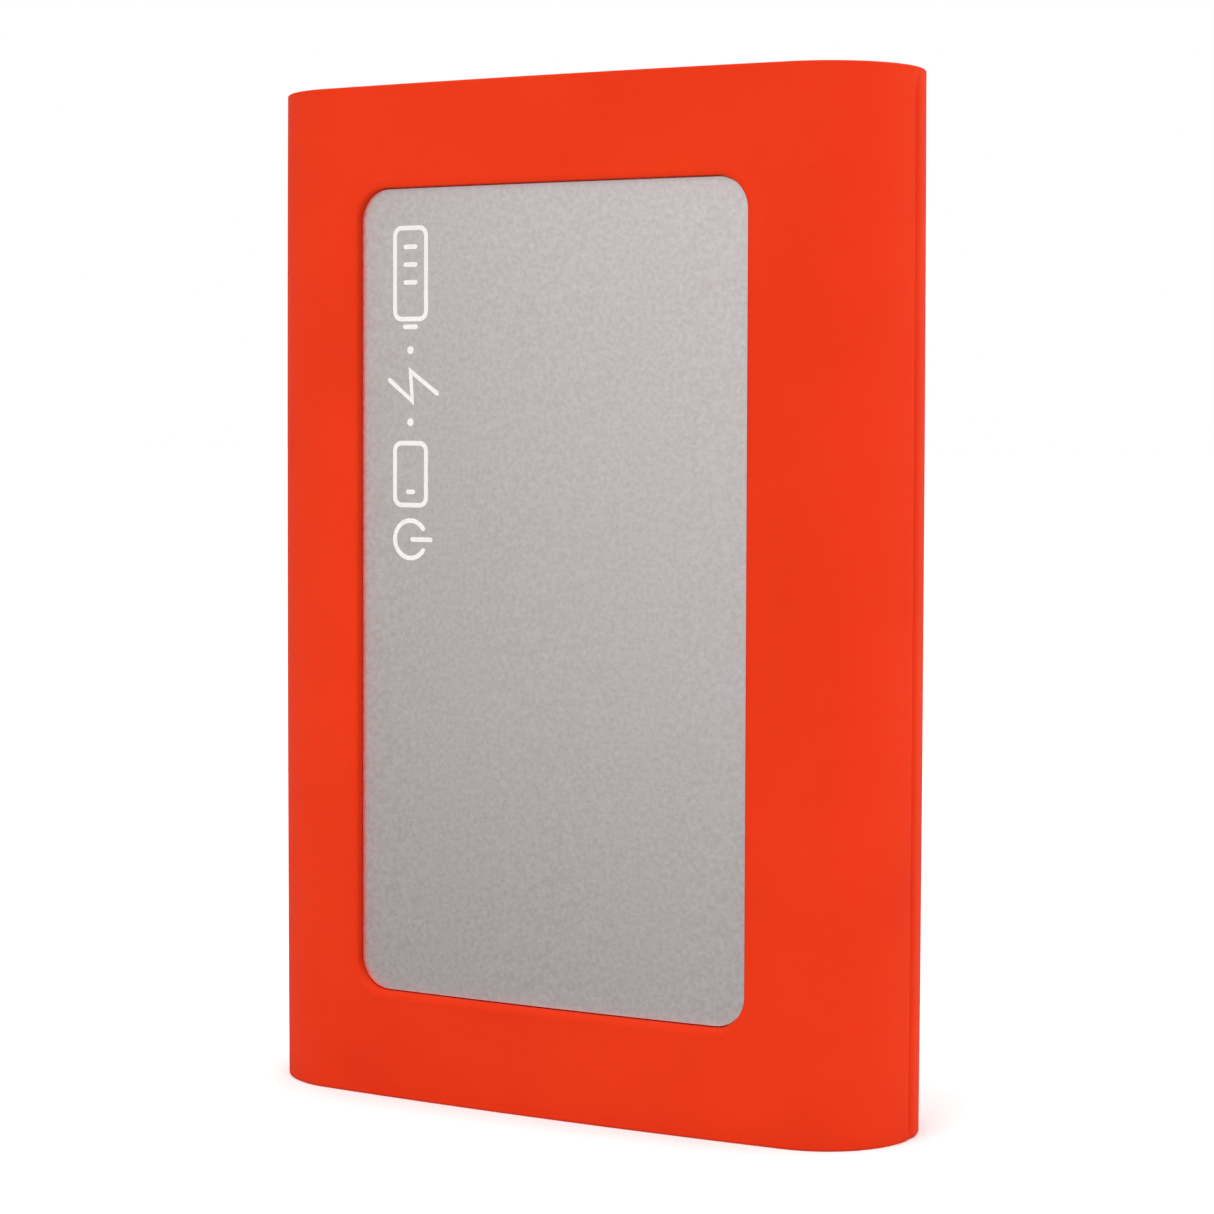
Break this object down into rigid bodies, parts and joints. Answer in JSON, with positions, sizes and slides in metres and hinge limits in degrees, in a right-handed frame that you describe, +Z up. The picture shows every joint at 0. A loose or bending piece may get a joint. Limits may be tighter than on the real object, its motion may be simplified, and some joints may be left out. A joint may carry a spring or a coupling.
{
  "type": "power bank",
  "caption": "Slim pocket power bank with a metal case in a soft sleeve with a window on each face, and a USB-C socket, button and charge lights on one end.",
  "frame": {"origin": "centre of the bottom end, the short end the power bank stands on in the picture", "axes": "+Z up along the longest side, towards the end with the socket; +Y through the thickness, from the front face to the back face; +X across the width, to the right as seen from the front"},
  "size_m": [0.0634, 0.0186, 0.092],
  "materials": {
    "sleeve_silicone": "soft matt orange-red silicone",
    "blasted_aluminium": "bead-blasted, warm grey",
    "black_rubber": "matt",
    "dark_steel": "blackened",
    "bezel_plastic": "fine texture",
    "light_pipe_plastic": "clear, milky",
    "led_package": "white body, yellow phosphor",
    "button_plastic": "satin",
    "switch_plastic": "moulded",
    "plunger_plastic": "moulded",
    "spring_steel": "bright",
    "socket_steel": "drawn",
    "tongue_plastic": "moulded",
    "contact_gold": "gold plated",
    "board_laminate": "solder mask",
    "bright_steel": "zinc plated",
    "chip_epoxy": "moulded epoxy",
    "ferrite": "moulded ferrite",
    "capacitor_ceramic": "tan ceramic, tinned ends",
    "resistor_ceramic": "black film, tinned ends",
    "cradle_plastic": "moulded",
    "pouch_foil": "laminated foil, dull silver",
    "tab_nickel": "nickel strip",
    "tape_film": "amber polyimide film",
    "lead_red": "red insulation",
    "lead_black": "black insulation",
    "thermistor_epoxy": "epoxy bead",
    "foam": "open foam"
  },
  "bodies": {
    "case": {"silicone_sleeve": "sleeve_silicone", "front_cover": "blasted_aluminium", "rear_cover": "blasted_aluminium", "seam_gasket": "black_rubber", "cover_screws": "dark_steel", "port_bezel": "bezel_plastic", "light_pipe": "light_pipe_plastic", "charge_leds": "led_package", "switch_body": "switch_plastic", "switch_dome": "spring_steel", "usb_shell": "socket_steel", "usb_tongue": "tongue_plastic", "usb_contacts": "contact_gold", "port_seal": "black_rubber", "main_board": "board_laminate", "board_screws": "bright_steel", "charger_chip": "chip_epoxy", "boost_chip": "chip_epoxy", "boost_inductor": "ferrite", "capacitors": "capacitor_ceramic", "resistors": "resistor_ceramic", "cell_cradle": "cradle_plastic", "pouch_cell": "pouch_foil", "cell_tabs": "tab_nickel", "protection_board": "board_laminate", "protection_chips": "chip_epoxy", "cell_tape": "tape_film", "positive_lead": "lead_red", "negative_lead": "lead_black", "thermistor": "thermistor_epoxy", "foam_pad_front": "foam", "foam_pad_rear": "foam"},
    "button": {"button_cap": "button_plastic", "switch_plunger": "plunger_plastic"}
  },
  "joints": [
    {"name": "button_press", "type": "slide", "parent": "case", "child": "button", "axis": [0, 0, -1], "range_m": [0, 0.0003], "stiffness_N_per_m": 5000, "springref_m": -0.0001, "deforming": ["switch_dome"]}
  ]
}
